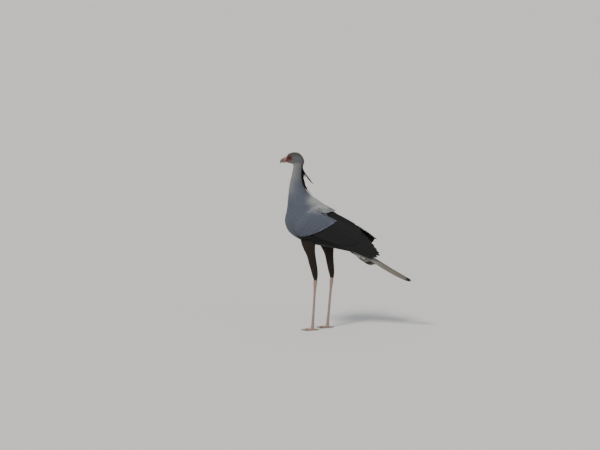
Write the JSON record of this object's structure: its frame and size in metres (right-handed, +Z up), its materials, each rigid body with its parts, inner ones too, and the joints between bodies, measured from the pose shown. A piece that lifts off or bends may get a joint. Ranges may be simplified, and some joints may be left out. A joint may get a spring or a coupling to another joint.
{
  "type": "secretary bird model",
  "caption": "Life-size still model of a secretary bird standing in half a stride, with folded wings, hanging crest plumes and a long central tail.",
  "frame": {"origin": "centre of the bird's bounding box in X and Y, at the floor that both feet stand on", "axes": "+Z up, -Y the way the bird faces, +X to the bird's own left"},
  "size_m": [0.228, 0.8698, 1.1773],
  "materials": {
    "grey_plumage": "matt blue-grey contour feathers",
    "black_plumage": "black feathers with a faint sheen",
    "face_plumage": "short pale grey feathers, black crest plumes and bare red skin round the eye",
    "bill_horn": "satin pinkish grey horn",
    "eye": "wet dark brown",
    "leg_skin": "scaly pinkish grey skin",
    "claw_horn": "satin dark horn"
  },
  "bodies": {
    "root": {"head": "face_plumage", "bill_upper": "bill_horn", "bill_lower": "bill_horn", "eye_left": "eye", "eye_right": "eye", "neck_upper": "grey_plumage", "neck_lower": "grey_plumage", "torso": "grey_plumage", "tail": "grey_plumage", "wing_left": "black_plumage", "wing_right": "black_plumage", "thigh_left": "black_plumage", "shank_left": "leg_skin", "foot_left": "leg_skin", "claw_left_middle": "claw_horn", "claw_left_inner": "claw_horn", "claw_left_outer": "claw_horn", "claw_left_hind": "claw_horn", "thigh_right": "black_plumage", "shank_right": "leg_skin", "foot_right": "leg_skin", "claw_right_middle": "claw_horn", "claw_right_inner": "claw_horn", "claw_right_outer": "claw_horn", "claw_right_hind": "claw_horn"}
  },
  "joints": []
}
